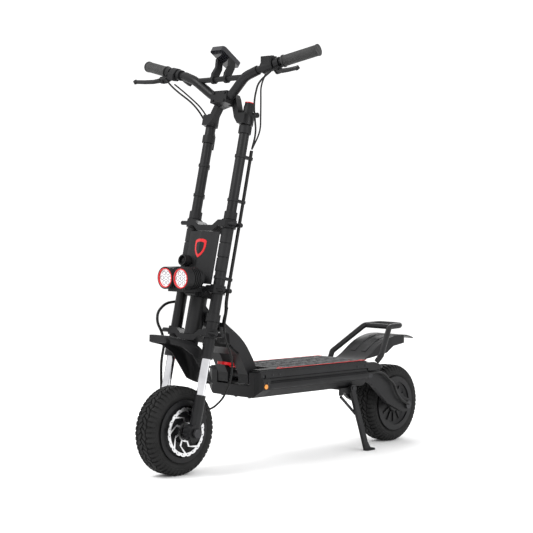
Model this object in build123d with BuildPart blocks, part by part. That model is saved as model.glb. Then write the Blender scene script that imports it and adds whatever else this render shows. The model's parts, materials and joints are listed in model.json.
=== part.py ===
from build123d import *
import os
from math import cos, radians, sin, tan

os.makedirs("parts", exist_ok=True)

# Electric kick scooter. Millimetres, +X forward, +Y to the rider's left, +Z up.
# The origin is on the ground, midway between the wheels, in the middle plane.

# ---- Driving dimensions ----
wheelbase = 964
tyre_radius = 127
tread_half_flat = 20
bead_radius = 82
rotor_radius = 70
rotor_thickness = 2.2
rotor_plane_y = 46
axle_radius = 10
running_gap = 0.05

rake_angle = 12.6
axis_foot_x = 504.4
leg_spacing = 145
leg_radius = 16.5
stanchion_radius = 12.5
stem_radius = 15
fork_travel = 40

deck_half_width = 107
deck_floor_z = 207
deck_wall_top_z = 281
deck_front_x = 249
deck_rear_x = -250
mat_top_z = 290
neck_slot_half_width = 66
neck_slot_rear_x = 168

fold_pin_x = 225
fold_pin_z = 270
fold_pin_radius = 6
latch_pin_x = 240
latch_pin_z = 297
latch_pin_radius = 4
swing_pin_x = -282
swing_pin_z = 241
swing_pin_radius = 7
kick_pin_x = -183
kick_pin_z = 206
kick_pin_y = 100

lower_clamp_s = 413
middle_clamp_s = 541
upper_clamp_s = 733
clamp_half_depth = 24
clamp_drop = 16
head_tube_radius = 25
steerer_radius = 14

bar_radius = 11
riser_radius = 14
grip_radius = 16
crossbar_radius = 8
grip_end_y = 347

# ---- Derived sizes ----
rake = radians(rake_angle)
half_base = wheelbase / 2
leg_y = leg_spacing / 2
forward = Vector(cos(rake), 0, sin(rake))
upward = Vector(-sin(rake), 0, cos(rake))
foot = Vector(axis_foot_x, 0, 0)
axle_s = (axis_foot_x - half_base) * sin(rake) + tyre_radius * cos(rake)
axle_f = (half_base - axis_foot_x) * cos(rake) + tyre_radius * sin(rake)
slider_top_s = 237
outer_tube_s = 341
outer_tube_top_s = 746
stem_top_s = 1058


def side_plane(y):
    """Plane facing -Y: local x is forward, local y is up."""
    return Plane(origin=(0, y, 0), x_dir=(1, 0, 0), z_dir=(0, -1, 0))


def across_axis(s, y=0, f=0):
    """Plane square to the steering axis, s along it: local x forward, local y left."""
    return Plane(origin=foot + upward * s + forward * f + Vector(0, y, 0), x_dir=forward, z_dir=upward)


def facing_forward(f):
    """Plane facing along the tilted forward direction: local x left, local y up the axis."""
    return Plane(origin=foot + forward * f, x_dir=(0, 1, 0), z_dir=forward)


def tilted_side(y):
    """Plane facing -Y, tilted with the fork: local x forward, local y up the axis."""
    return Plane(origin=foot + Vector(0, y, 0), x_dir=forward, z_dir=(0, -1, 0))


def steer_point(f, y, s):
    """World point from distances forward of, beside and along the steering axis."""
    return foot + forward * f + upward * s + Vector(0, y, 0)


def wheel_plane(x):
    """Plane through a wheel's axle: local x is across the wheel, local y is its radius."""
    return Plane(origin=(x, 0, tyre_radius), x_dir=(0, 1, 0), z_dir=(1, 0, 0))


def wheel_axis(x):
    return Axis((x, 0, tyre_radius), (0, 1, 0))


def along_y(x, y, z):
    """Plane facing +Y at a point, for round things that lie across the scooter."""
    return Plane(origin=(x, y, z), x_dir=(1, 0, 0), z_dir=(0, 1, 0))


def radii_for(points):
    """Bend radii for a cord route: 0.45 of the shorter run over tan of half the turn."""
    radii = []
    for before, at, after in zip(points, points[1:], points[2:]):
        run_in = Vector(*at) - Vector(*before)
        run_out = Vector(*after) - Vector(*at)
        half_turn = radians(run_in.get_angle(run_out)) / 2
        radii.append(0.45 * min(run_in.length, run_out.length) / tan(half_turn))
    return radii


def cable(points, radius):
    """Round cable along straight runs joined by tangent arcs."""
    radii = radii_for(points)
    print("cable radius", radius, "bend radii", [round(bend, 1) for bend in radii])
    with BuildPart() as piece:
        with BuildLine() as route:
            FilletPolyline(*points, radius=radii)
        with BuildSketch(Plane(origin=route.line @ 0, z_dir=route.line % 0)):
            Circle(radius)
        sweep(path=route.line)
    return piece.part


# ---- Wheels ----

def tyre(x):
    """Tyre wall and tread, open at the beads."""
    with BuildPart() as piece:
        with BuildSketch(wheel_plane(x)):
            with BuildLine():
                Line((0, tyre_radius), (tread_half_flat, tyre_radius))
                ThreePointArc((tread_half_flat, tyre_radius), (30.5, 122.5), (36, 113))
                ThreePointArc((36, 113), (38, 103), (33.5, 91))
                Polyline((33.5, 91), (33, bead_radius), (27, bead_radius), (27, 92))
                ThreePointArc((27, 92), (31.5, 103), (27, 112))
                Polyline((27, 112), (19, 118), (0, 118))
                mirror(about=Plane.YZ)
            make_face()
        revolve(axis=wheel_axis(x))
    return piece


def hub(x):
    """Motor hub: rim barrel with its right-hand wall, and a separate left-hand cover."""
    bore = axle_radius + running_gap
    with BuildPart() as piece:
        with BuildSketch(wheel_plane(x)):
            with BuildLine():
                Polyline(
                    (-39, 89), (-39, 72), (-33, 72), (-28, 62), (-28, 30), (-36, 26), (-36, bore),
                    (-22, bore), (-22, 72), (24, 76), (24, 78), (33, 78), (39, 74), (39, 89),
                    (33.5, 89), (33, bead_radius), (26, bead_radius), (22, 79), (-22, 79),
                    (-26, bead_radius), (-33, bead_radius), (-33.5, 89), close=True,
                )
            make_face()
        revolve(axis=wheel_axis(x))
        # Cooling ribs on the right-hand wall
        with BuildSketch(along_y(x, -28, tyre_radius)):
            with PolarLocations(46, 12):
                Rectangle(30, 4)
        extrude(amount=-4)
        with BuildSketch(wheel_plane(x)):
            with BuildLine():
                Polyline(
                    (24.2, 75.8), (24.2, bore), (42, bore), (42, 18), (rotor_plane_y, 18),
                    (rotor_plane_y, 30), (31, 33), (31, 70), (28, 75.8), close=True,
                )
            make_face()
        revolve(axis=wheel_axis(x))
    return piece


def rotor(x):
    """Thin disc with a scalloped rim, slots and eight swept spokes, bolted to the hub."""
    with BuildPart() as piece:
        with BuildSketch(along_y(x, rotor_plane_y, tyre_radius)):
            Circle(rotor_radius)
            Circle(rotor_radius - 10, mode=Mode.SUBTRACT)
            with PolarLocations(rotor_radius + 4, 20):
                Circle(6.4, mode=Mode.SUBTRACT)
            with PolarLocations(rotor_radius - 5.5, 20, start_angle=6):
                Rectangle(4.5, 2.4, rotation=40, mode=Mode.SUBTRACT)
            for spoke in range(8):
                corners = []
                for radius, angle in ((24, 0), (43, 10), (62, 40), (62, 47), (43, 18), (24, 12)):
                    turn = radians(angle + 45 * spoke)
                    corners.append((radius * cos(turn), radius * sin(turn)))
                with BuildLine():
                    Polyline(*corners, close=True)
                make_face()
            Circle(28)
            Circle(18, mode=Mode.SUBTRACT)
            with PolarLocations(23, 6):
                Circle(2.6, mode=Mode.SUBTRACT)
        extrude(amount=rotor_thickness)
    return piece


def axle(x, half_length):
    """Axle with end nuts, and the motor's wound stator pressed on its middle."""
    with BuildPart() as piece:
        with BuildSketch(along_y(x, -half_length, tyre_radius)):
            Circle(axle_radius)
        extrude(amount=2 * half_length)
        for side in (-1, 1):
            with BuildSketch(along_y(x, side * (half_length - 6), tyre_radius)):
                RegularPolygon(14, 6)
            extrude(amount=side * 7)
        with BuildSketch(along_y(x, -18, tyre_radius)):
            Circle(68)
            with PolarLocations(67, 18):
                Rectangle(8, 5, mode=Mode.SUBTRACT)
        extrude(amount=36)
    return piece


tyre_front = tyre(half_base)
tyre_front.part.label = "tyre_front"
export_step(tyre_front.part, "parts/tyre_front.step")

tyre_rear = tyre(-half_base)
tyre_rear.part.label = "tyre_rear"
export_step(tyre_rear.part, "parts/tyre_rear.step")

hub_front = hub(half_base)
hub_front.part.label = "hub_front"
export_step(hub_front.part, "parts/hub_front.step")

hub_rear = hub(-half_base).part.mirror(Plane.XZ)
hub_rear.label = "hub_rear"
export_step(hub_rear, "parts/hub_rear.step")

rotor_front = rotor(half_base)
rotor_front.part.label = "rotor_front"
export_step(rotor_front.part, "parts/rotor_front.step")

rotor_rear = rotor(-half_base).part.mirror(Plane.XZ)
rotor_rear.label = "rotor_rear"
export_step(rotor_rear, "parts/rotor_rear.step")

front_axle = axle(half_base, 95.1)
front_axle.part.label = "front_axle"
export_step(front_axle.part, "parts/front_axle.step")

# ---- Fork: sliding lower part ----

caliper_outer_y = 55.95

with BuildPart() as fork_sliders:
    with BuildSketch(across_axis(axle_s + 2, leg_y)):
        Circle(leg_radius)
    extrude(amount=slider_top_s - axle_s - 2)
    with BuildSketch(along_y(half_base, leg_y - 15, tyre_radius)):
        Circle(24)
    extrude(amount=29)
    mirror(about=Plane.XZ)
    # Arm that carries the caliper, behind the left slider
    with BuildSketch(tilted_side(caliper_outer_y + 6)):
        with BuildLine():
            Polyline(
                (-2, axle_s + 84), (-38, axle_s + 80), (-46, axle_s + 66), (-40, axle_s + 56),
                (-2, axle_s + 50), close=True,
            )
        make_face()
    extrude(amount=5.9)
    # Sockets for the stanchions, and the axle bore
    for side in (-1, 1):
        with BuildSketch(across_axis(slider_top_s, side * leg_y)):
            Circle(stanchion_radius)
        extrude(amount=-60, mode=Mode.SUBTRACT)
    with BuildSketch(along_y(half_base, -120, tyre_radius)):
        Circle(axle_radius)
    extrude(amount=240, mode=Mode.SUBTRACT)
fork_sliders.part.label = "fork_sliders"
export_step(fork_sliders.part, "parts/fork_sliders.step")

with BuildPart() as stanchions:
    for side in (-1, 1):
        with BuildSketch(across_axis(slider_top_s - 60, side * leg_y)):
            Circle(stanchion_radius)
            Circle(stanchion_radius - 2.5, mode=Mode.SUBTRACT)
        extrude(amount=300)
stanchions.part.label = "stanchions"
export_step(stanchions.part, "parts/stanchions.step")


def caliper(x, angle, outer_y):
    """Caliper that straddles the rotor's rim, at an angle up from straight ahead."""
    turn = radians(angle)
    middle = Location((x + 62 * cos(turn), tyre_radius + 62 * sin(turn)), angle)
    with BuildPart() as piece:
        with BuildSketch(side_plane(outer_y)):
            with Locations(middle):
                RectangleRounded(38, 44, 7)
        extrude(amount=outer_y - rotor_plane_y - rotor_thickness - 0.8)
        with BuildSketch(side_plane(rotor_plane_y - 0.8)):
            with Locations(middle):
                Rectangle(36, 34)
        extrude(amount=2.6)
        with BuildSketch(side_plane(outer_y)):
            with Locations(middle):
                with Locations((14.5, 0)):
                    Rectangle(9, 30)
        extrude(amount=outer_y - rotor_plane_y + 3.4)
        with BuildSketch(side_plane(outer_y)):
            with Locations(middle):
                with Locations((0, 11)):
                    Circle(8)
        extrude(amount=-6)
    return piece


caliper_front = caliper(half_base, 140, caliper_outer_y)
caliper_front.part.label = "caliper_front"
export_step(caliper_front.part, "parts/caliper_front.step")

# ---- Fork: upper part, on the stems ----

with BuildPart() as fork_tubes:
    for side in (-1, 1):
        with BuildSketch(across_axis(outer_tube_s, side * leg_y)):
            Circle(leg_radius)
        extrude(amount=outer_tube_top_s - outer_tube_s)
        with BuildSketch(across_axis(outer_tube_s, side * leg_y)):
            Circle(leg_radius + 1.5)
        extrude(amount=8)
    # The right leg's sleeve for the damper
    with BuildSketch(across_axis(outer_tube_s - 2, -leg_y)):
        Circle(21)
    extrude(amount=32)
    for side in (-1, 1):
        with BuildSketch(across_axis(outer_tube_s - 5, side * leg_y)):
            Circle(stanchion_radius + running_gap)
        extrude(amount=35, mode=Mode.SUBTRACT)
        with BuildSketch(across_axis(outer_tube_s + 30, side * leg_y)):
            Circle(stanchion_radius + 1)
        extrude(amount=outer_tube_top_s - outer_tube_s, mode=Mode.SUBTRACT)
fork_tubes.part.label = "fork_tubes"
export_step(fork_tubes.part, "parts/fork_tubes.step")

with BuildPart() as stem_tubes:
    for side in (-1, 1):
        with BuildSketch(across_axis(outer_tube_top_s - 45, side * leg_y)):
            Circle(stanchion_radius + 1)
        extrude(amount=45)
        with BuildSketch(across_axis(outer_tube_top_s, side * leg_y)):
            Circle(stem_radius)
        extrude(amount=stem_top_s - outer_tube_top_s)
        with BuildSketch(across_axis(outer_tube_top_s - 45, side * leg_y)):
            Circle(stem_radius - 4)
        extrude(amount=stem_top_s - outer_tube_top_s + 45, mode=Mode.SUBTRACT)
stem_tubes.part.label = "stem_tubes"
export_step(stem_tubes.part, "parts/stem_tubes.step")


def clamp(s, tube_radius):
    """Bridge between the two legs: high ears round the tubes, a lower middle, pinch bolts."""
    top = s + 9
    low = s - 9
    with BuildPart() as piece:
        with BuildSketch(facing_forward(-clamp_half_depth)):
            with BuildLine():
                Polyline(
                    (-94, low), (-50, low), (-30, low - clamp_drop), (30, low - clamp_drop), (50, low),
                    (94, low), (94, top), (48, top), (28, top - clamp_drop), (-28, top - clamp_drop),
                    (-48, top), (-94, top), close=True,
                )
            make_face()
        extrude(amount=2 * clamp_half_depth)
        for side in (-1, 1):
            with BuildSketch(across_axis(low - 3, side * leg_y)):
                Circle(tube_radius + 7)
            extrude(amount=24)
        # Corners cut off in plan
        for side in (-1, 1):
            for end in (-1, 1):
                with BuildSketch(across_axis(low - 40)):
                    with BuildLine():
                        Polyline(
                            (end * 25, side * 96), (end * 25, side * 78), (end * 6, side * 96),
                            close=True,
                        )
                    make_face()
                extrude(amount=80, mode=Mode.SUBTRACT)
        # Bolt barrels stand out at the sides, behind and ahead of each tube
        for side in (-1, 1):
            with BuildSketch(Plane(origin=steer_point(13, side * 80, s), x_dir=forward, z_dir=(0, side, 0))):
                with Locations((0, 0), (-26, 0)):
                    Circle(6.5)
            extrude(amount=30)
        for side in (-1, 1):
            with BuildSketch(across_axis(low - 8, side * leg_y)):
                Circle(tube_radius)
            extrude(amount=40, mode=Mode.SUBTRACT)
        # The steerer's seat
        with BuildSketch(across_axis(low - clamp_drop - 2)):
            Circle(steerer_radius)
        extrude(amount=40, mode=Mode.SUBTRACT)
    return piece


with BuildPart() as stem_clamps:
    add(clamp(lower_clamp_s, leg_radius).part)
    add(clamp(middle_clamp_s, leg_radius).part)
    add(clamp(upper_clamp_s, leg_radius).part)
stem_clamps.part.label = "stem_clamps"
export_step(stem_clamps.part, "parts/stem_clamps.step")

steerer_low_s = lower_clamp_s - 9 - clamp_drop
steerer_high_s = middle_clamp_s + 9
with BuildPart() as steerer:
    with BuildSketch(across_axis(steerer_low_s)):
        Circle(steerer_radius)
    extrude(amount=steerer_high_s - steerer_low_s)
    with BuildSketch(across_axis(steerer_high_s - clamp_drop + 0.2)):
        Circle(steerer_radius)
    extrude(amount=14)
steerer.part.label = "steerer"
export_step(steerer.part, "parts/steerer.step")

# ---- Neck: head tube and the two curved arms ----

head_low_s = lower_clamp_s + 9 - clamp_drop + 1
head_high_s = middle_clamp_s - 9 - clamp_drop - 1
with BuildPart() as head_tube:
    with BuildSketch(across_axis(head_low_s)):
        Circle(head_tube_radius)
    extrude(amount=head_high_s - head_low_s)
    with BuildSketch(across_axis(head_low_s)):
        Circle(steerer_radius + running_gap)
    extrude(amount=head_high_s - head_low_s, mode=Mode.SUBTRACT)
    # Grease space between the two bearing seats
    with BuildSketch(across_axis(head_low_s + 16)):
        Circle(steerer_radius + 5)
    extrude(amount=head_high_s - head_low_s - 32, mode=Mode.SUBTRACT)
head_tube.part.label = "head_tube"
export_step(head_tube.part, "parts/head_tube.step")

arm_outer_y = 62
arm_inner_y = 22
with BuildPart() as neck_arms:
    with BuildSketch(side_plane(arm_outer_y)):
        with BuildLine():
            Spline((214, 281), (222, 309), (236, 332), (257, 361), (282, 386), (322, 415), (364, 447))
            Polyline((364, 447), (392, 462), (392, 431), (352, 424), (330, 400), (326, 371))
            Polyline((326, 371), (308, 354), (290, 343))
            Polyline((290, 343), (269, 309), (249, 274), (248, 247), (214, 252), (214, 281))
        make_face()
    extrude(amount=arm_outer_y - arm_inner_y)
    mirror(about=Plane.XZ)
    # Cross tube round the fold pin, web plate above it and block behind the head tube
    with BuildSketch(along_y(fold_pin_x, -arm_outer_y, fold_pin_z)):
        Circle(13)
    extrude(amount=2 * arm_outer_y)
    with BuildSketch(side_plane(arm_outer_y - 5)):
        with BuildLine():
            Polyline((285, 345), (318, 366), (322, 358), (289, 335), close=True)
        make_face()
    extrude(amount=2 * arm_outer_y - 10)
    with BuildSketch(side_plane(arm_inner_y + 4)):
        with BuildLine():
            Polyline((335, 400), (352, 440), (388, 480), (400, 480), (400, 425), (352, 400), close=True)
        make_face()
    extrude(amount=2 * arm_inner_y + 8)
    # Room for the legs and the lower clamp as they steer
    for side in (-1, 1):
        with BuildSketch(across_axis(head_low_s - 60)):
            with BuildLine():
                Polyline((120, side * 41), (-20, side * 41), (-62, side * 41), (-62, side * 110),
                         (120, side * 110), close=True)
            make_face()
        extrude(amount=160, mode=Mode.SUBTRACT)
    with BuildSketch(across_axis(lower_clamp_s - 40)):
        with BuildLine():
            Polyline((140, 0), (-29.5, 0), (-45, 22), (-70, 62), (-70, 80), (140, 80), close=True)
            mirror(about=Plane.XZ)
        make_face()
    extrude(amount=head_low_s - lower_clamp_s + 40.2, mode=Mode.SUBTRACT)
    with BuildSketch(across_axis(lower_clamp_s - 40)):
        with BuildLine():
            Polyline((140, 36), (-56, 36), (-64, 50), (-70, 62), (-70, 90), (140, 90), close=True)
        make_face()
        mirror(about=Plane.XZ)
    extrude(amount=56, mode=Mode.SUBTRACT)
    # Bore for the head tube, and for the fold pin
    with BuildSketch(across_axis(head_low_s - 30)):
        Circle(head_tube_radius)
    extrude(amount=200, mode=Mode.SUBTRACT)
    with BuildSketch(along_y(fold_pin_x, -90, fold_pin_z)):
        Circle(fold_pin_radius + running_gap)
    extrude(amount=180, mode=Mode.SUBTRACT)
    # Pin of the latch lever, between the arms
    with BuildSketch(along_y(latch_pin_x, -arm_inner_y - 1, latch_pin_z)):
        Circle(latch_pin_radius)
    extrude(amount=2 * arm_inner_y + 2)
neck_arms.part.label = "neck_arms"
export_step(neck_arms.part, "parts/neck_arms.step")

with BuildPart() as latch_lever:
    with BuildSketch(along_y(latch_pin_x, -arm_inner_y + 2, latch_pin_z)):
        Circle(7)
    extrude(amount=2 * arm_inner_y - 4)
    # D-shaped handle that reaches forward
    with BuildSketch(Plane(origin=(latch_pin_x, 0, latch_pin_z - 3), x_dir=(0.98, 0, 0.17), z_dir=(-0.17, 0, 0.98))):
        with Locations((32, 0)):
            RectangleRounded(64, 38, 12)
            RectangleRounded(48, 23, 8, mode=Mode.SUBTRACT)
    extrude(amount=8)
    with BuildSketch(along_y(latch_pin_x, -40, latch_pin_z)):
        Circle(latch_pin_radius + running_gap)
    extrude(amount=80, mode=Mode.SUBTRACT)
latch_lever.part.label = "latch_lever"
export_step(latch_lever.part, "parts/latch_lever.step")

# ---- Deck ----


def deck_outline():
    """Half section of the deck's extrusion from the middle of its floor to its wall top."""
    return [
        (0, deck_floor_z), (83, deck_floor_z), (105, 229), (105, 252), (101, 255), (101, 262),
        (deck_half_width, 265), (deck_half_width, deck_wall_top_z),
    ]


with BuildPart() as deck_frame:
    with BuildSketch(Plane.YZ.offset(deck_rear_x)):
        with BuildLine():
            Polyline(*deck_outline(), (0, deck_wall_top_z))
            mirror(about=Plane.YZ)
        make_face()
        with Locations((103.5, 240.5), (-103.5, 240.5)):
            Circle(10)
        with BuildLine():
            Polyline((0, 214), (77, 214), (93, 232), (93, 300), (0, 300))
            mirror(about=Plane.YZ)
        make_face(mode=Mode.SUBTRACT)
    extrude(amount=205 - deck_rear_x)
deck_frame.part.label = "deck_frame"
export_step(deck_frame.part, "parts/deck_frame.step")


def deck_top(inset, thickness, z):
    """Flat sheet over the deck, notched at the front for the neck."""
    half = deck_half_width - inset
    notch = neck_slot_half_width + inset
    with BuildPart() as piece:
        with BuildSketch(Plane.XY.offset(z)):
            with BuildLine():
                Polyline(
                    (deck_rear_x - 6 + inset, 0), (deck_rear_x - 6 + inset, half - 10),
                    (deck_rear_x + 4 + inset, half), (deck_front_x - 4 - inset, half),
                    (deck_front_x - 4 - inset, notch), (neck_slot_rear_x - inset, notch),
                    (neck_slot_rear_x - inset, 0),
                )
                mirror(about=Plane.XZ)
            make_face()
        extrude(amount=thickness)
    return piece


deck_lid = deck_top(1, mat_top_z - 3 - deck_wall_top_z, deck_wall_top_z)
deck_lid.part.label = "deck_lid"
export_step(deck_lid.part, "parts/deck_lid.step")

deck_mat = deck_top(5, 3, mat_top_z - 3)
deck_mat.part.label = "deck_mat"
export_step(deck_mat.part, "parts/deck_mat.step")

slot_floor_z = 242
nose_half_width = 113
with BuildPart() as nose_block:
    with BuildSketch(Plane.YZ.offset(205)):
        with BuildLine():
            Polyline(
                (0, deck_floor_z), (83, deck_floor_z), (nose_half_width, 231),
                (nose_half_width, 262), (deck_half_width, 266), (deck_half_width, deck_wall_top_z),
                (neck_slot_half_width, deck_wall_top_z), (neck_slot_half_width, slot_floor_z),
                (0, slot_floor_z),
            )
            mirror(about=Plane.YZ)
        make_face()
    extrude(amount=deck_front_x - 205)
    # Pocket behind the nose, where the folded neck's heel goes
    with BuildSketch(Plane.XY.offset(slot_floor_z - 5)):
        with Locations(((160 + 205) / 2, 0)):
            Rectangle(45, 2 * neck_slot_half_width + 10)
    extrude(amount=deck_wall_top_z - slot_floor_z + 5)
    with BuildSketch(Plane.XY.offset(slot_floor_z)):
        with Locations((neck_slot_rear_x + 50, 0)):
            Rectangle(100, 2 * neck_slot_half_width)
    extrude(amount=60, mode=Mode.SUBTRACT)
    # Corner facets of the front face
    for side in (-1, 1):
        with BuildSketch(Plane.XY.offset(deck_floor_z - 1)):
            with BuildLine():
                Polyline(
                    (deck_front_x + 1, side * 86), (deck_front_x + 1, side * 120),
                    (deck_front_x - 12, side * 120), (deck_front_x - 12, side * nose_half_width),
                    (deck_front_x - 6, side * 102), close=True,
                )
            make_face()
        extrude(amount=100, mode=Mode.SUBTRACT)
    with BuildSketch(along_y(fold_pin_x, -120, fold_pin_z)):
        Circle(fold_pin_radius)
    extrude(amount=240, mode=Mode.SUBTRACT)
nose_block.part.label = "nose_block"
export_step(nose_block.part, "parts/nose_block.step")

with BuildPart() as tail_block:
    with BuildSketch(Plane.YZ.offset(deck_rear_x)):
        with BuildLine():
            Polyline(*deck_outline(), (0, deck_wall_top_z))
            mirror(about=Plane.YZ)
        make_face()
    extrude(amount=-6)
    with BuildSketch(Plane.YZ.offset(deck_rear_x - 6)):
        with Locations((0, 246)):
            Rectangle(140, 66)
    extrude(amount=-44)
    # Ears that hold the rack's feet
    for side in (-1, 1):
        with BuildSketch(side_plane(side * 98 + 6)):
            with BuildLine():
                Polyline((-256, 256), (-256, 281), (-290, 281), (-318, 272), (-318, 256), close=True)
            make_face()
        extrude(amount=12)
    with BuildSketch(along_y(swing_pin_x, -80, swing_pin_z)):
        Circle(swing_pin_radius)
    extrude(amount=160, mode=Mode.SUBTRACT)
tail_block.part.label = "tail_block"
export_step(tail_block.part, "parts/tail_block.step")

with BuildPart() as pivot_pins:
    with BuildSketch(along_y(fold_pin_x, -104, fold_pin_z)):
        Circle(fold_pin_radius)
    extrude(amount=208)
    with BuildSketch(along_y(swing_pin_x, -90, swing_pin_z)):
        Circle(swing_pin_radius)
    extrude(amount=180)
    with BuildSketch(along_y(kick_pin_x, 94, kick_pin_z)):
        Circle(5)
    extrude(amount=14)
    for side in (-1, 1):
        with BuildSketch(along_y(swing_pin_x, side * 90, swing_pin_z)):
            Circle(12)
        extrude(amount=side * 4)
pivot_pins.part.label = "pivot_pins"
export_step(pivot_pins.part, "parts/pivot_pins.step")

with BuildPart() as battery_pack:
    with BuildSketch(Plane.XY.offset(214)):
        with Locations((-88, 0)):
            RectangleRounded(300, 148, 6)
    extrude(amount=60)
battery_pack.part.label = "battery_pack"
export_step(battery_pack.part, "parts/battery_pack.step")

with BuildPart() as controllers:
    for side in (-1, 1):
        with BuildSketch(Plane.XY.offset(214)):
            with Locations((110, side * 36)):
                Rectangle(84, 62)
        extrude(amount=18)
        # Cooling fins
        for fin in range(5):
            with BuildSketch(Plane.XY.offset(232)):
                with Locations((110, side * 36 + (fin - 2) * 12)):
                    Rectangle(84, 3)
            extrude(amount=8)
controllers.part.label = "controllers"
export_step(controllers.part, "parts/controllers.step")

with BuildPart() as deck_screws:
    for y in (-56, 0, 56):
        with BuildSketch(Plane.XY.offset(deck_floor_z)):
            with Locations((deck_front_x - 14, y)):
                Circle(4.5)
        extrude(amount=-4)
    for side in (-1, 1):
        for x, z in ((232, 250), (216, 250), (-240, 273), (-200, 273), (160, 273), (190, 273)):
            wall = nose_half_width if x > 205 else deck_half_width
            if x > 205 or z > 265:
                with BuildSketch(Plane(origin=(x, side * wall, z), x_dir=(1, 0, 0), z_dir=(0, side, 0))):
                    Circle(3)
                extrude(amount=1.5)
deck_screws.part.label = "deck_screws"
export_step(deck_screws.part, "parts/deck_screws.step")

with BuildPart() as marker_lights:
    for side in (-1, 1):
        with BuildSketch(Plane(origin=(241 - 16, side * nose_half_width, 241), x_dir=(1, 0, 0), z_dir=(0, side, 0))):
            Circle(7)
        extrude(amount=2.5)
    with BuildSketch(Plane.YZ.offset(deck_rear_x - 50)):
        with Locations((0, 262)):
            RectangleRounded(90, 14, 5)
    extrude(amount=-5)
marker_lights.part.label = "marker_lights"
export_step(marker_lights.part, "parts/marker_lights.step")

# ---- Rear fender, rack and kickstand ----

fender_half_width = 60
with BuildPart() as rear_fender:
    with BuildSketch(side_plane(fender_half_width)):
        with BuildLine():
            Spline((-262, 282.5), (-300, 290), (-350, 320), (-407, 346), (-460, 356), (-520, 354), (-594, 340))
            Line((-594, 340), (-594, 336.5))
            Spline((-594, 336.5), (-520, 350), (-460, 352), (-407, 342), (-350, 316), (-300, 286), (-262, 281))
            Line((-262, 281), (-262, 282.5))
        make_face()
    extrude(amount=2 * fender_half_width)
    # Side skirts
    for side in (-1, 1):
        with BuildSketch(side_plane(side * (fender_half_width - 1.5) + 1.5)):
            with BuildLine():
                Spline((-300, 287), (-350, 317), (-407, 343), (-460, 353), (-520, 351.5), (-588, 339))
                Polyline((-588, 339), (-520, 332), (-440, 321), (-407, 301), (-330, 290), (-300, 287))
            make_face()
        extrude(amount=3)
    # Two raised ribs over the wheel
    for y in (-22, 22):
        with BuildSketch(side_plane(y + 9)):
            with BuildLine():
                Spline((-330, 309), (-350, 321), (-407, 347.5), (-440, 354))
                Polyline((-440, 354), (-440, 350), (-407, 343), (-350, 317), (-330, 306), (-330, 309))
            make_face()
        extrude(amount=18)
    # The tail narrows to the rear edge
    for side in (-1, 1):
        with BuildSketch(Plane.XY.offset(250)):
            with BuildLine():
                Polyline((-490, side * 80), (-490, side * 61), (-596, side * 22), (-620, side * 22),
                         (-620, side * 80), close=True)
            make_face()
        extrude(amount=150, mode=Mode.SUBTRACT)
rear_fender.part.label = "rear_fender"
export_step(rear_fender.part, "parts/rear_fender.step")

rack_radius = 9
rack_half = [(-306, 98, 281), (-322, 104, 300), (-426, 53, 385), (-499, 50, 387)]
rack_mirrored = [(x, -y, z) for x, y, z in reversed(rack_half)]
with BuildPart() as rear_rack:
    with BuildLine() as rack_path:
        FilletPolyline(*rack_half, *rack_mirrored, radius=[10, 30, 26, 26, 30, 10])
    with BuildSketch(Plane(origin=rack_path.line @ 0, z_dir=rack_path.line % 0)):
        Circle(rack_radius)
    sweep(path=rack_path.line)
    with BuildSketch(along_y(-432, -46, 384.5)):
        Circle(rack_radius - 0.5)
    extrude(amount=92)
rear_rack.part.label = "rear_rack"
export_step(rear_rack.part, "parts/rear_rack.step")

with BuildPart() as kickstand_bracket:
    with BuildSketch(side_plane(94)):
        with BuildLine():
            Polyline(
                (-214, 207), (-134, 207), (-134, 184), (-146, 184), (-150, 194), (-164, 188), (-204, 188),
                (-214, 198), close=True,
            )
        make_face()
    extrude(amount=7)
    with BuildSketch(Plane.XY.offset(deck_floor_z)):
        with Locations((-174, 66)):
            Rectangle(80, 42)
    extrude(amount=-5)
kickstand_bracket.part.label = "kickstand_bracket"
export_step(kickstand_bracket.part, "parts/kickstand_bracket.step")

kick_inner_y = 94.5
with BuildPart() as kickstand:
    with BuildSketch(side_plane(kick_inner_y + 11)):
        with BuildLine():
            Spline((-174, 202), (-200, 130), (-228, 60), (-243, 20))
            Polyline((-243, 20), (-250, 0), (-294, 0), (-294, 6), (-272, 10), (-258, 30))
            Spline((-258, 30), (-243, 68), (-216, 138), (-192, 204))
            Line((-192, 204), (-174, 202))
        make_face()
        with Locations((kick_pin_x, kick_pin_z)):
            Circle(11.5)
    extrude(amount=11)
    with BuildSketch(Plane.XY):
        with Locations((-272, kick_pin_y)):
            RectangleRounded(44, 20, 6)
    extrude(amount=5)
    # Peg for the spring's lower hook
    with BuildSketch(along_y(-219, 85, 116)):
        Circle(3)
    extrude(amount=11)
    with BuildSketch(along_y(kick_pin_x, 80, kick_pin_z)):
        Circle(5 + running_gap)
    extrude(amount=40, mode=Mode.SUBTRACT)
kickstand.part.label = "kickstand"
export_step(kickstand.part, "parts/kickstand.step")

spring_top = Vector(-141, 89, 180)
spring_foot = Vector(-214, 89, 120)
with BuildPart() as kick_spring:
    with BuildSketch(Plane(origin=spring_top, z_dir=spring_foot - spring_top)):
        Circle(4.5)
        Circle(2.5, mode=Mode.SUBTRACT)
    extrude(amount=(spring_foot - spring_top).length)
kick_spring.part.label = "kick_spring"
export_step(kick_spring.part, "parts/kick_spring.step")

# ---- Swingarm ----

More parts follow.
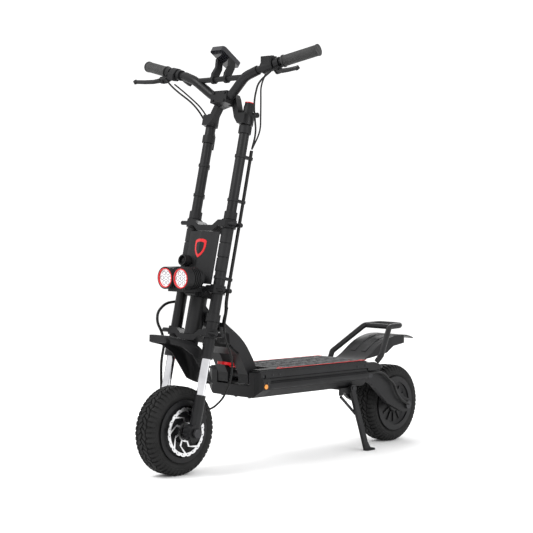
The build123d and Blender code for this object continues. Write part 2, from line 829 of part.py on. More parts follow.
with BuildPart() as swingarm:
    with BuildSketch(side_plane(88)):
        with BuildLine():
            Polyline(
                (-262, 226), (-262, 252), (-285, 262), (-333, 250), (-371, 222), (-407, 201),
                (-468, 154), (-500, 144), (-506, 118), (-488, 104), (-455, 106), (-377, 141),
                (-300, 205), close=True,
            )
        make_face()
    extrude(amount=14)
    mirror(about=Plane.XZ)
    with BuildSketch(along_y(-330, -80, 222)):
        Circle(13)
    extrude(amount=160)
    with BuildSketch(along_y(swing_pin_x, -100, swing_pin_z)):
        Circle(swing_pin_radius + running_gap)
    extrude(amount=200, mode=Mode.SUBTRACT)
    with BuildSketch(along_y(-half_base, -100, tyre_radius)):
        Circle(axle_radius)
    extrude(amount=200, mode=Mode.SUBTRACT)
swingarm.part.label = "swingarm"
export_step(swingarm.part, "parts/swingarm.step")

rear_axle = axle(-half_base, 94.1)
rear_axle.part.label = "rear_axle"
export_step(rear_axle.part, "parts/rear_axle.step")

caliper_rear = caliper(-half_base, 62, 73.9).part.mirror(Plane.XZ)
caliper_rear.label = "caliper_rear"
export_step(caliper_rear, "parts/caliper_rear.step")

# The rear motor's cable, from the deck's tail round the pivot to the axle
with BuildPart() as cables_rear:
    add(cable(
        [
            (-257, 99.5, 246), (-312, 99, 248), (-345, 97.5, 240), (-372, 97, 219), (-398, 97, 203),
            (-411, 97, 175), (-434, 98, 148), (-474, 100, 130),
        ],
        4,
    ))
cables_rear.part.label = "cables_rear"
export_step(cables_rear.part, "parts/cables_rear.step")

# ---- Handlebar and what it carries ----

bar_half = [(304, 34, 1088), (316, 103, 1139), (312, 150, 1155), (303.5, 237, 1174.4), (280.7, grip_end_y, 1199.6)]
bar_path = [(x, -y, z) for x, y, z in reversed(bar_half)] + bar_half
bar_bends = [200, 200, 80, 50, 50, 80, 200, 200]


def bar_sweep(first, last, radius):
    """Round bar along part of the handlebar's centre line."""
    with BuildPart() as piece:
        with BuildLine() as line:
            FilletPolyline(*bar_path[first:last], radius=bar_bends[first:last - 2])
        with BuildSketch(Plane(origin=line.line @ 0, z_dir=line.line % 0)):
            Circle(radius)
        sweep(path=line.line)
    return piece.part


def bar_point(y):
    """Centre of the handlebar between the riser and the grip, at a distance from the middle."""
    inner = Vector(*bar_half[2])
    outer = Vector(*bar_half[3])
    return inner + (outer - inner) * ((y - inner.Y) / (outer.Y - inner.Y))


bar_run = (Vector(*bar_half[3]) - Vector(*bar_half[2])).normalized()


def on_bar(y, shift=0):
    """Plane across the bar at a distance from the middle, moved along the bar."""
    return Plane(origin=bar_point(y) + bar_run * shift, x_dir=(1, 0.0977, 0), z_dir=bar_run)


with BuildPart() as handlebar:
    add(bar_sweep(0, 10, bar_radius))
    add(bar_sweep(2, 8, riser_radius))
    with BuildSketch(along_y(314.3, -102, 1138.1)):
        Circle(crossbar_radius)
    extrude(amount=204)
handlebar.part.label = "handlebar"
export_step(handlebar.part, "parts/handlebar.step")

with BuildPart() as grips:
    grip_line = Line(bar_half[3], bar_half[4])
    with BuildSketch(Plane(origin=grip_line @ 0.02, z_dir=grip_line % 0)):
        Circle(grip_radius)
    extrude(amount=grip_line.length * 0.98)
    with BuildSketch(Plane(origin=grip_line @ 0.02, z_dir=grip_line % 0)):
        Circle(grip_radius + 2)
    extrude(amount=4)
    with BuildSketch(Plane(origin=grip_line @ 1, z_dir=grip_line % 0)):
        Circle(grip_radius + 1)
    extrude(amount=4)
    mirror(about=Plane.XZ)
    add(bar_sweep(0, 10, bar_radius), mode=Mode.SUBTRACT)
grips.part.label = "grips"
export_step(grips.part, "parts/grips.step")

socket_low_s = 1028
with BuildPart() as bar_bracket:
    with BuildSketch(facing_forward(2)):
        with BuildLine():
            Polyline(
                (0, 1118), (30, 1118), (38, 1106), (55, 1068), (58, 1059), (86, 1059), (86, socket_low_s),
                (60, socket_low_s), (44, 1046), (30, 1078), (0, 1086),
            )
            mirror(about=Plane.YZ)
        make_face()
    extrude(amount=24)
    with BuildSketch(facing_forward(16)):
        with Locations((0, 1101)):
            Rectangle(64, 36)
    extrude(amount=42)
    for side in (-1, 1):
        with BuildSketch(across_axis(socket_low_s, side * leg_y)):
            Circle(21)
        extrude(amount=32)
    # Small round knob behind the left socket
    with BuildSketch(along_y(254, 76, 1033)):
        Circle(8)
    extrude(amount=18)
    for side in (-1, 1):
        with BuildSketch(across_axis(socket_low_s - 5, side * leg_y)):
            Circle(stem_radius)
        extrude(amount=50, mode=Mode.SUBTRACT)
    add(bar_sweep(2, 8, riser_radius), mode=Mode.SUBTRACT)
    # Four cap screws
    for y in (-22, 22):
        for s in (1089, 1113):
            with BuildSketch(Plane(origin=steer_point(58, y, s), x_dir=(0, 1, 0), z_dir=forward)):
                Circle(4)
            extrude(amount=3)
bar_bracket.part.label = "bar_bracket"
export_step(bar_bracket.part, "parts/bar_bracket.step")

with BuildPart() as stem_caps:
    for side, height in ((1, 24), (-1, 5)):
        with BuildSketch(across_axis(1060.1, side * leg_y)):
            Circle(stem_radius)
        extrude(amount=height)
    with BuildSketch(across_axis(1084.1, leg_y)):
        Circle(stem_radius - 1.5)
    extrude(amount=11)
stem_caps.part.label = "stem_caps"
export_step(stem_caps.part, "parts/stem_caps.step")

screen_tilt = 33
screen_middle = Vector(290.5, 0, 1209.5)
screen_run = Vector(cos(radians(screen_tilt)), 0, sin(radians(screen_tilt)))
screen_face = Vector(-sin(radians(screen_tilt)), 0, cos(radians(screen_tilt)))
with BuildPart() as display_unit:
    with BuildSketch(Plane(origin=screen_middle, x_dir=screen_run, z_dir=screen_face)):
        RectangleRounded(84, 56, 9)
    extrude(amount=-15)
    with BuildSketch(Plane(origin=screen_middle, x_dir=screen_run, z_dir=screen_face)):
        RectangleRounded(72, 45, 5)
    extrude(amount=-1, mode=Mode.SUBTRACT)
display_unit.part.label = "display_unit"
export_step(display_unit.part, "parts/display_unit.step")

with BuildPart() as display_mount:
    for y in (-26, 26):
        with BuildSketch(side_plane(y + 5)):
            with BuildLine():
                Polyline((304, 1139), (325, 1139), (322, 1156), (307, 1176), (304, 1199.8), (284, 1186.8),
                         (286, 1168), close=True)
            make_face()
            with Locations((314.3, 1138.1)):
                Circle(13)
            with Locations((314.3, 1138.1)):
                Circle(crossbar_radius, mode=Mode.SUBTRACT)
        extrude(amount=10)
display_mount.part.label = "display_mount"
export_step(display_mount.part, "parts/display_mount.step")

# ---- Front cover, lamps, horn and mudguard ----

with BuildPart() as front_cover:
    with BuildSketch(across_axis(553)):
        with BuildLine():
            Polyline((29, 0), (32, 0), (23, 48), (20, 60), (17.5, 60), (20, 47), (29, 0))
        make_face()
        mirror(about=Plane.XZ)
    extrude(amount=153)
front_cover.part.label = "front_cover"
export_step(front_cover.part, "parts/front_cover.step")

pad_height = 38
with BuildPart() as cover_pads:
    for side in (-1, 1):
        for step in range(3):
            with BuildSketch(across_axis(594 + step * (pad_height + 4), side * leg_y)):
                Circle(18.8)
                Circle(leg_radius, mode=Mode.SUBTRACT)
                with Locations((-17, 0)):
                    Rectangle(26, 60, mode=Mode.SUBTRACT)
            extrude(amount=pad_height)
cover_pads.part.label = "cover_pads"
export_step(cover_pads.part, "parts/cover_pads.step")

lamp_radius = 32
lamp_z = 560.9
with BuildPart() as lamp_housings:
    for side in (-1, 1):
        with BuildSketch(Plane.YZ.offset(441)):
            with Locations((side * 32.5, lamp_z)):
                Circle(lamp_radius)
        extrude(amount=54)
        with BuildSketch(Plane.YZ.offset(425)):
            with Locations((side * 32.5, lamp_z)):
                Circle(lamp_radius - 7)
        extrude(amount=16)
        # Cooling grooves round the back of the lamp
        for groove in range(4):
            with BuildSketch(Plane.YZ.offset(445 + groove * 7)):
                with Locations((side * 32.5, lamp_z)):
                    Circle(lamp_radius + 1)
                    Circle(lamp_radius - 3, mode=Mode.SUBTRACT)
            extrude(amount=3, mode=Mode.SUBTRACT)
        with BuildSketch(Plane.YZ.offset(486)):
            with Locations((side * 32.5, lamp_z)):
                Circle(lamp_radius - 4)
        extrude(amount=12, mode=Mode.SUBTRACT)
    # Bracket under the lamps, bolted to the middle clamp
    with BuildSketch(Plane.XY.offset(522)):
        with Locations((447, 0)):
            Rectangle(62, 76)
    extrude(amount=12)
    with BuildSketch(tilted_side(20)):
        with BuildLine():
            Polyline((24.1, 516), (24.1, 534), (38, 534), (38, 520), (34, 516), close=True)
        make_face()
    extrude(amount=40)
lamp_housings.part.label = "lamp_housings"
export_step(lamp_housings.part, "parts/lamp_housings.step")

with BuildPart() as lamp_lenses:
    with BuildSketch(Plane.YZ.offset(486.1)):
        with Locations((32.5, lamp_z), (-32.5, lamp_z)):
            Circle(lamp_radius - 4.1)
    extrude(amount=5)
lamp_lenses.part.label = "lamp_lenses"
export_step(lamp_lenses.part, "parts/lamp_lenses.step")

with BuildPart() as horn:
    with BuildSketch(Plane(origin=steer_point(30, -42, 615), x_dir=(0, 1, 0), z_dir=forward)):
        Circle(18)
    extrude(amount=14)
    with BuildSketch(Plane(origin=steer_point(44, -42, 615), x_dir=(0, 1, 0), z_dir=forward)):
        Circle(16)
        Circle(12, mode=Mode.SUBTRACT)
    extrude(amount=8)
    with BuildSketch(Plane(origin=steer_point(25.1, -42, 615), x_dir=(0, 1, 0), z_dir=forward)):
        Circle(5)
    extrude(amount=22)
horn.part.label = "horn"
export_step(horn.part, "parts/horn.step")


def guard_form(drop, half_width, bottom, edge_radius, tip_x):
    """Solid under the mudguard's crown, with rounded shoulders."""
    with BuildPart() as piece:
        with BuildSketch(side_plane(half_width)):
            with BuildLine():
                crown = Spline(
                    (tip_x, 402 - drop), (510, 397 - drop), (470, 386 - drop), (436, 375 - drop),
                    (408, 356 - drop), (385, 312 - drop), (364 + drop, 252),
                )
                Polyline(crown @ 1, *bottom, crown @ 0)
            make_face()
        extrude(amount=2 * half_width)
        long_edges = piece.edges().filter_by(GeomType.BSPLINE)
        fillet(long_edges, radius=edge_radius)
    return piece.part


guard_half_width = 44
with BuildPart() as front_mudguard:
    add(guard_form(0, guard_half_width, [(398, 268), (426, 306), (456, 344), (496, 369), (554, 382)], 17, 553))
    add(
        guard_form(3, guard_half_width - 3, [(367, 200), (480, 200), (549, 330)], 14.5, 549.5),
        mode=Mode.SUBTRACT,
    )
    # The tip narrows to a blunt nose
    for side in (-1, 1):
        with BuildSketch(Plane.XY.offset(200)):
            with BuildLine():
                Polyline(
                    (505, side * 70), (505, side * 44.5), (540, side * 41), (560, side * 27), (560, side * 70),
                    close=True,
                )
            make_face()
        extrude(amount=260, mode=Mode.SUBTRACT)
    # Ring that bolts up to the lower clamp
    with BuildSketch(across_axis(378)):
        Circle(20)
        Circle(13, mode=Mode.SUBTRACT)
    extrude(amount=9.9)
front_mudguard.part.label = "front_mudguard"
export_step(front_mudguard.part, "parts/front_mudguard.step")

# ---- Hand controls ----

lever_pivot_offset = Vector(16.4, 17, -22.5)
lever_axis = Vector(0.658, -0.161, 0.735).normalized()
lever_run = Vector(26, 88, -4).normalized()
lever_pin_radius = 3


def lever_plane(bar_y, height=0):
    """Plane the brake lever swings in, with its origin at the pivot."""
    origin = bar_point(bar_y) + lever_pivot_offset + lever_axis * height
    return Plane(origin=origin, x_dir=lever_run, z_dir=lever_axis)


def perch(bar_y):
    """Collar on the bar with a forked arm for the brake lever."""
    with BuildPart() as piece:
        with BuildSketch(lever_plane(bar_y, -9)):
            with BuildLine():
                Polyline((-4, -8), (8, -4), (6, 6), (-8, 9), (-22, 24), (-36, 26), (-30, 10), (-16, -6), close=True)
            make_face()
        extrude(amount=18)
        with BuildSketch(on_bar(bar_y, -8)):
            Circle(16)
        extrude(amount=16)
        with BuildSketch(lever_plane(bar_y, -5)):
            with Locations((22, -4)):
                Rectangle(60, 40)
        extrude(amount=10, mode=Mode.SUBTRACT)
        with BuildSketch(lever_plane(bar_y, -9)):
            Circle(lever_pin_radius)
        extrude(amount=18)
        add(bar_sweep(0, 10, bar_radius), mode=Mode.SUBTRACT)
    return piece.part


def brake_lever(bar_y):
    """Lever blade with its pivot boss and a ball at the tip."""
    with BuildPart() as piece:
        with BuildSketch(lever_plane(bar_y, -4.5)):
            with BuildLine():
                Polyline((-4, -4), (2, -7), (30, -10), (60, -7), (95, -1), (95, 7), (60, 2), (30, 0), (6, 6),
                         (-2, 6), (-4, 2), close=True)
            make_face()
            with Locations((97, 3)):
                Circle(6.5)
            Circle(7)
            Circle(lever_pin_radius + running_gap, mode=Mode.SUBTRACT)
        extrude(amount=9)
    return piece.part


left_perch_y = 221
right_perch_y = 226
with BuildPart() as brake_perches:
    add(perch(left_perch_y))
    add(perch(right_perch_y).mirror(Plane.XZ))
brake_perches.part.label = "brake_perches"
export_step(brake_perches.part, "parts/brake_perches.step")

with BuildPart() as brake_lever_left:
    add(brake_lever(left_perch_y))
brake_lever_left.part.label = "brake_lever_left"
export_step(brake_lever_left.part, "parts/brake_lever_left.step")

with BuildPart() as brake_lever_right:
    add(brake_lever(right_perch_y).mirror(Plane.XZ))
brake_lever_right.part.label = "brake_lever_right"
export_step(brake_lever_right.part, "parts/brake_lever_right.step")

pod_top_z = 1191
button_spots = [(303, 181), (303, 196)]
with BuildPart() as switch_pod:
    with BuildSketch(Plane.XY.offset(pod_top_z - 28)):
        with Locations((309, 188)):
            RectangleRounded(32, 40, 6)
    extrude(amount=28)
    with BuildSketch(on_bar(188, -20)):
        Circle(17)
    extrude(amount=40)
    add(bar_sweep(0, 10, bar_radius), mode=Mode.SUBTRACT)
    with BuildSketch(Plane.XY.offset(pod_top_z)):
        with Locations(*button_spots):
            Circle(5.05)
    extrude(amount=-6, mode=Mode.SUBTRACT)
switch_pod.part.label = "switch_pod"
export_step(switch_pod.part, "parts/switch_pod.step")


def button(spot):
    """Round push button that stands in a pocket of the switch pod."""
    with BuildPart() as piece:
        with BuildSketch(Plane.XY.offset(pod_top_z - 4)):
            with Locations(spot):
                Circle(5)
        extrude(amount=7)
    return piece


button_lights = button(button_spots[0])
button_lights.part.label = "button_lights"
export_step(button_lights.part, "parts/button_lights.step")

button_horn = button(button_spots[1])
button_horn.part.label = "button_horn"
export_step(button_horn.part, "parts/button_horn.step")

throttle_y = 198
with BuildPart() as throttle_body:
    with BuildSketch(on_bar(throttle_y, -13)):
        Circle(18)
        with Locations((8.5, 8)):
            RectangleRounded(25, 24, 5)
        Circle(bar_radius, mode=Mode.SUBTRACT)
    extrude(amount=26)
throttle_body = throttle_body.part.mirror(Plane.XZ)
throttle_body.label = "throttle_body"
export_step(throttle_body, "parts/throttle_body.step")

paddle_y = 175
with BuildPart() as throttle_paddle:
    with BuildSketch(on_bar(paddle_y, -6)):
        Circle(16)
        with BuildLine():
            Polyline((-4, 10), (-22, 22), (-40, 30), (-43, 24), (-26, 8), (-12, -4), close=True)
        make_face()
        Circle(bar_radius + running_gap, mode=Mode.SUBTRACT)
    extrude(amount=12)
throttle_paddle = throttle_paddle.part.mirror(Plane.XZ)
throttle_paddle.label = "throttle_paddle"
export_step(throttle_paddle, "parts/throttle_paddle.step")

# ---- Cables ----

cable_side = 86
cable_back = -27


def on_stem(side, s, y=cable_side, f=cable_back):
    """Point beside a stem where the cables run."""
    point = steer_point(f, side * y, s)
    return (point.X, point.Y, point.Z)


with BuildPart() as bar_cables:
    # Left: front brake hose and switch lead
    add(cable([(326, 212, 1146), (330, 168, 1118), (296, 118, 1066), on_stem(1, 1012, 92), on_stem(1, 962)], 2.8))
    add(cable([(296, 165, 1146), (292, 142, 1112), (270, 122, 1064), on_stem(1, 1018, 100, -36),
               on_stem(1, 966, 82, -32)], 2.4))
    # Right: rear brake hose and throttle lead, then down beside the right stem
    add(cable([(327, -220, 1148), (336, -172, 1116), (296, -118, 1066), on_stem(-1, 1012, 90),
               on_stem(-1, 962)], 2.8))
    add(cable([(318, -192, 1134), (306, -150, 1102), (278, -112, 1060), on_stem(-1, 1018, 84, -34),
               on_stem(-1, 966, 82, -32)], 2.4))
bar_cables.part.label = "bar_cables"
export_step(bar_cables.part, "parts/bar_cables.step")

with BuildPart() as loom_right:
    add(cable([on_stem(-1, 958), on_stem(-1, 760, cable_side + 1), on_stem(-1, 515)], 4.5))
with BuildPart() as loom_main:
    add(cable(
        [on_stem(1, 958), on_stem(1, 760, cable_side + 1), on_stem(1, 512), (352, 72, 462), (332, 44, 441),
         (306, 14, 411), (289, 9, 380)],
        5,
    ))
    add(loom_right.part)
loom_main.part.label = "loom_main"
export_step(loom_main.part, "parts/loom_main.step")

with BuildPart() as fork_cables:
    # Front brake hose, slack beside the left leg
    add(cable(
        [on_stem(1, 496, 94.5), on_stem(1, 420, 94.5), (343, 92, 327), (342, 86, 268), (366, 76, 214),
         (388, 62, 190), (410, 54.5, 183)],
        3,
    ))
    # Front motor cable, looping ahead of the right leg to the axle
    add(cable(
        [on_stem(-1, 508, 89.5), (428.5, -101, 484), (460, -101, 459), (463, -100, 429.5), (445, -98.5, 399.7),
         (436, -97, 368), (449.5, -96, 312.8), (447, -96, 216.4), (462, -100, 150), (482, -101, 131)],
        4,
    ))
fork_cables.part.label = "fork_cables"
export_step(fork_cables.part, "parts/fork_cables.step")

with BuildPart() as cable_straps:
    for side, s in ((1, 930), (-1, 905), (1, 800), (-1, 815), (1, 572), (-1, 572)):
        inner = stem_radius if s > outer_tube_top_s else leg_radius
        with BuildSketch(across_axis(s, side * leg_y)):
            Circle(inner + 2.2)
            with Locations((cable_back, side * (cable_side + 0.5 - leg_y))):
                Circle(7.5)
            with BuildLine():
                Polyline((-4, side * 16), (-30, side * 20), (-32, side * 10), (-16, side * 2), close=True)
            make_face()
            Circle(inner, mode=Mode.SUBTRACT)
            with Locations((cable_back, side * (cable_side + 0.5 - leg_y))):
                Circle(5.6, mode=Mode.SUBTRACT)
        extrude(amount=8)
    # Wide bands: two under the bar bracket, two on the outer tubes' tops, one on the left leg
    for side, s, tube in (
        (1, 1002, stem_radius), (-1, 978, stem_radius), (1, outer_tube_top_s + 1, stem_radius),
        (-1, outer_tube_top_s + 1, stem_radius), (1, 448, leg_radius),
    ):
        with BuildSketch(across_axis(s, side * leg_y)):
            Circle(tube + 4)
            Circle(tube, mode=Mode.SUBTRACT)
        extrude(amount=22)
cable_straps.part.label = "cable_straps"
export_step(cable_straps.part, "parts/cable_straps.step")
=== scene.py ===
import json
from math import cos, pi, radians, sin

import bmesh
import bpy
from mathutils import Matrix, Vector


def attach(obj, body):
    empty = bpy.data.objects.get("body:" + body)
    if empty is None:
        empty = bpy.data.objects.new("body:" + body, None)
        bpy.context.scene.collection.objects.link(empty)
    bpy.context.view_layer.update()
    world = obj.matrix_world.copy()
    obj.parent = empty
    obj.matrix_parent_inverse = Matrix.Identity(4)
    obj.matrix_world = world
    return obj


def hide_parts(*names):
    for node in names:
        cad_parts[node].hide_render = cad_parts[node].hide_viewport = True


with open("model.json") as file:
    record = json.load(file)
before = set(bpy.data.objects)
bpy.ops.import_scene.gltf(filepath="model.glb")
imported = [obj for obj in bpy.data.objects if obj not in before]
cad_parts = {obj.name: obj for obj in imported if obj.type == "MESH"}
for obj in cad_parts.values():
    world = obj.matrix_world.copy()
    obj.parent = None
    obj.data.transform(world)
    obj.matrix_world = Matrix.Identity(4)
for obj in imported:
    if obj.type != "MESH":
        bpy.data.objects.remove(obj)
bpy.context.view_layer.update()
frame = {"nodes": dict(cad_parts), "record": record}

# ---- Materials ----


def nodes_of(name):
    """New node material: its tree, its Principled shader and the object-space coordinates."""
    material = bpy.data.materials.new(name)
    material.use_nodes = True
    tree = material.node_tree
    shader = tree.nodes["Principled BSDF"]
    place = tree.nodes.new("ShaderNodeTexCoord")
    return material, tree, shader, place.outputs["Object"]


def noise(tree, place, scale, detail=3.0, rough=0.5):
    """Noise factor at a scale, in features per metre."""
    node = tree.nodes.new("ShaderNodeTexNoise")
    node.inputs["Scale"].default_value = scale
    node.inputs["Detail"].default_value = detail
    node.inputs["Roughness"].default_value = rough
    tree.links.new(place, node.inputs["Vector"])
    return node.outputs["Fac"]


def ramp(tree, factor, low, high, a, b):
    """Colour ramp from a to b between two factor values."""
    node = tree.nodes.new("ShaderNodeValToRGB")
    node.color_ramp.elements[0].position = low
    node.color_ramp.elements[1].position = high
    node.color_ramp.elements[0].color = (*a, 1)
    node.color_ramp.elements[1].color = (*b, 1)
    tree.links.new(factor, node.inputs["Fac"])
    return node.outputs["Color"]


def spread(tree, factor, low, high):
    """Map a 0..1 factor to a range."""
    node = tree.nodes.new("ShaderNodeMapRange")
    node.inputs["To Min"].default_value = low
    node.inputs["To Max"].default_value = high
    tree.links.new(factor, node.inputs["Value"])
    return node.outputs["Result"]


def bump(tree, height, strength, distance, shader):
    """Relief on the shader's normal, from a height factor."""
    node = tree.nodes.new("ShaderNodeBump")
    node.inputs["Strength"].default_value = strength
    node.inputs["Distance"].default_value = distance
    tree.links.new(height, node.inputs["Height"])
    tree.links.new(node.outputs["Normal"], shader.inputs["Normal"])


def surface(
    name, dark, light, metallic=0.0, rough=(0.4, 0.5), patch=14.0, grain=900.0, relief=0.15, depth=0.0003,
    coat=0.0, specular=0.22,
):
    """General finish: slow colour drift, roughness drift and a fine grain in the relief."""
    material, tree, shader, place = nodes_of(name)
    colour = ramp(tree, noise(tree, place, patch), 0.35, 0.65, dark, light)
    tree.links.new(colour, shader.inputs["Base Color"])
    tree.links.new(spread(tree, noise(tree, place, patch * 3), *rough), shader.inputs["Roughness"])
    bump(tree, noise(tree, place, grain, 2.0), relief, depth, shader)
    shader.inputs["Metallic"].default_value = metallic
    shader.inputs["Coat Weight"].default_value = coat
    shader.inputs["Specular IOR Level"].default_value = specular
    return material


coated = surface(
    "coated_black", (0.0045, 0.0045, 0.0049), (0.0072, 0.0072, 0.0081),
    0.0, (0.36, 0.46), 10, 1500, 0.12,
)
frame_black = surface(
    "frame_black", (0.0054, 0.0054, 0.0059), (0.0086, 0.0086, 0.0095),
    0.0, (0.42, 0.52), 12, 1200, 0.2,
)
plastic = surface(
    "plastic_black", (0.0054, 0.0054, 0.0059), (0.0090, 0.0090, 0.0099),
    0.0, (0.46, 0.58), 16, 700, 0.25,
)
pad_grey = surface(
    "pad_grey", (0.0072, 0.0072, 0.0077), (0.0108, 0.0108, 0.0117),
    0.0, (0.5, 0.6), 20, 800, 0.3,
)
hub_black = surface(
    "hub_black", (0.0045, 0.0045, 0.0049), (0.0072, 0.0072, 0.0081),
    0.0, (0.34, 0.44), 10, 1200, 0.15,
)
tyre_black = surface(
    "tyre_rubber", (0.0054, 0.0054, 0.0054), (0.0099, 0.0099, 0.0099),
    0.0, (0.62, 0.78), 30, 600, 0.35,
)
rubber = surface(
    "grip_rubber", (0.0054, 0.0054, 0.0054), (0.0090, 0.0090, 0.0090),
    0.0, (0.6, 0.72), 30, 900, 0.3,
)
cable_black = surface(
    "cable_sheath", (0.0045, 0.0045, 0.0045), (0.0077, 0.0077, 0.0081),
    0.0, (0.4, 0.5), 40, 900, 0.1,
)
black_steel = surface(
    "black_steel", (0.03, 0.03, 0.032), (0.05, 0.05, 0.053),
    0.8, (0.3, 0.42), 40, 1500, 0.1,
)
red_paint = surface(
    "red_paint", (0.50, 0.008, 0.012), (0.62, 0.014, 0.018),
    0.0, (0.25, 0.33), 20, 900, 0.05, coat=0.3,
)
red_rubber = surface("red_line", (0.55, 0.012, 0.015), (0.68, 0.02, 0.022), 0.0, (0.45, 0.55), 40, 900, 0.1)
grey_button = surface("grey_button", (0.16, 0.16, 0.17), (0.22, 0.22, 0.23), 0.0, (0.4, 0.5), 40, 900, 0.1)
battery = surface("battery_wrap", (0.02, 0.08, 0.25), (0.03, 0.11, 0.3), 0.0, (0.3, 0.4), 14, 400, 0.2)
alloy = surface("plain_alloy", (0.5, 0.5, 0.52), (0.62, 0.62, 0.64), 1.0, (0.35, 0.45), 30, 1200, 0.1)
screen = surface(
    "screen", (0.008, 0.008, 0.010), (0.012, 0.012, 0.015),
    0.0, (0.08, 0.14), 14, 200, 0.02, coat=0.5,
)
amber = surface(
    "amber_lens", (0.55, 0.20, 0.03), (0.75, 0.30, 0.05),
    0.0, (0.15, 0.25), 60, 300, 0.1, coat=0.4,
)
chrome = surface("chrome", (0.56, 0.56, 0.58), (0.70, 0.70, 0.72), 1.0, (0.06, 0.12), 20, 900, 0.02)


def ground_steel(name):
    """Bright disc steel with a fine grain."""
    material, tree, shader, place = nodes_of(name)
    tree.links.new(ramp(tree, noise(tree, place, 30), 0.3, 0.7, (0.62, 0.62, 0.63), (0.80, 0.80, 0.81)),
                   shader.inputs["Base Color"])
    tree.links.new(spread(tree, noise(tree, place, 200), 0.22, 0.36), shader.inputs["Roughness"])
    bump(tree, noise(tree, place, 2500, 2.0), 0.1, 0.0002, shader)
    shader.inputs["Metallic"].default_value = 1.0
    return material


rotor_steel = ground_steel("rotor_steel")


def lens_white():
    """Frosted lamp lens, lit softly by its diodes."""
    material, tree, shader, place = nodes_of("lamp_lens")
    glow = ramp(tree, noise(tree, place, 120), 0.3, 0.7, (0.70, 0.71, 0.72), (0.84, 0.84, 0.85))
    tree.links.new(glow, shader.inputs["Base Color"])
    tree.links.new(glow, shader.inputs["Emission Color"])
    tree.links.new(spread(tree, noise(tree, place, 300), 0.12, 0.25), shader.inputs["Roughness"])
    shader.inputs["Emission Strength"].default_value = 0.06
    return material


def ribbed(name):
    """Grip rubber with close ribs round the bar."""
    material, tree, shader, place = nodes_of(name)
    tree.links.new(ramp(tree, noise(tree, place, 30), 0.35, 0.65, (0.012, 0.012, 0.012), (0.02, 0.02, 0.02)),
                   shader.inputs["Base Color"])
    tree.links.new(spread(tree, noise(tree, place, 90), 0.55, 0.7), shader.inputs["Roughness"])
    wave = tree.nodes.new("ShaderNodeTexWave")
    wave.bands_direction = "Y"
    wave.inputs["Scale"].default_value = 80
    tree.links.new(place, wave.inputs["Vector"])
    bump(tree, wave.outputs["Fac"], 0.8, 0.0012, shader)
    return material


lens = lens_white()
grip = ribbed("grip_ribs")
reflector = surface(
    "reflector_grey", (0.22, 0.22, 0.24), (0.34, 0.34, 0.36),
    0.3, (0.2, 0.3), 80, 900, 0.05,
)
badge_dark = surface(
    "badge_dark", (0.0067, 0.0067, 0.0077), (0.0135, 0.0135, 0.0153),
    0.2, (0.25, 0.35), 60, 900, 0.05,
)
panel_grey = surface(
    "mat_panel", (0.022, 0.022, 0.024), (0.034, 0.034, 0.037),
    0.0, (0.6, 0.75), 40, 700, 0.5,
)

finishes = {
    "tyre_rubber": tyre_black, "hub_black": hub_black, "rotor_steel": rotor_steel, "axle_steel": black_steel,
    "fork_black": coated, "chrome_tube": chrome, "caliper_black": hub_black, "frame_black": frame_black,
    "mat_black": rubber, "plastic_black": plastic, "pad_grey": pad_grey, "red_paint": red_paint,
    "screen_glass": screen, "lens_clear": lens, "amber_lens": amber, "grip_rubber": grip,
    "lever_black": coated, "button_grey": grey_button, "cable_black": cable_black,
    "spring_steel": black_steel,
    "battery_blue": battery, "controller_alloy": alloy,
}
slots = {part["node"]: part["material_slot"] for part in frame["record"]["subparts"]}
for node, solid in frame["nodes"].items():
    material = finishes[slots[node]]
    if solid.material_slots:
        for place in solid.material_slots:
            place.material = material
    else:
        solid.data.materials.append(material)

# ---- Modelled detail ----

bodies = frame["record"]["behaviour"]["bodies"]

# Driving sizes of the modelled pieces, in mm, the same as the CAD's
wheel_x = 482
tyre_radius = 127
lamp_y = 32.5
lamp_z = 560.9
lens_face_x = 491.2
lamp_bore = 27.9
stem_y = 72.5
cap_top_s = 1084.1
shield_s = 655
cover_front_f = 32
mat_z = 289.9
line_top_z = 290.7
panel_top_z = 291.0


def body_for(node):
    """The moving body a CAD node belongs to."""
    return next(name for name, nodes in bodies.items() if node in nodes)


def piece(name, shape, material, node, smooth=False):
    """Finish a bmesh, in metres in the shared frame, as a piece riding with a CAD node's body."""
    bmesh.ops.recalc_face_normals(shape, faces=shape.faces)
    mesh = bpy.data.meshes.new(name)
    shape.to_mesh(mesh)
    shape.free()
    for polygon in mesh.polygons:
        polygon.use_smooth = smooth
    mesh.materials.append(material)
    thing = bpy.data.objects.new(name, mesh)
    bpy.context.collection.objects.link(thing)
    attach(thing, body_for(node))
    return thing


def lathe(shape, profile, origin, axis, steps=40):
    """Turn a closed profile of (along, radius) in mm round an axis."""
    axis = Vector(axis).normalized()
    side = axis.orthogonal().normalized()
    other = axis.cross(side)
    rings = []
    for step in range(steps):
        turn = 2 * pi * step / steps
        out = side * cos(turn) + other * sin(turn)
        rings.append([
            shape.verts.new((Vector(origin) + axis * along + out * radius) / 1000)
            for along, radius in profile
        ])
    for ring, following in zip(rings, rings[1:] + rings[:1]):
        for i in range(len(profile)):
            j = (i + 1) % len(profile)
            shape.faces.new((ring[i], ring[j], following[j], following[i]))


def prism(shape, outline, low, high):
    """Upright prism over an (x, y) outline in mm."""
    bottom = [shape.verts.new((x / 1000, y / 1000, low / 1000)) for x, y in outline]
    top = [shape.verts.new((x / 1000, y / 1000, high / 1000)) for x, y in outline]
    shape.faces.new(bottom)
    shape.faces.new(top)
    for i in range(len(outline)):
        j = (i + 1) % len(outline)
        shape.faces.new((bottom[i], bottom[j], top[j], top[i]))


lean = radians(12.6)


def on_axis(f, y, s):
    """Point in mm: f ahead of the steering axis, y to the left, s up the axis."""
    return Vector((504.4 - sin(lean) * s + cos(lean) * f, y, cos(lean) * s + sin(lean) * f))


up_axis = Vector((-sin(lean), 0, cos(lean)))

# Tyres: the CAD's outer form with the tread's grooves cut into it

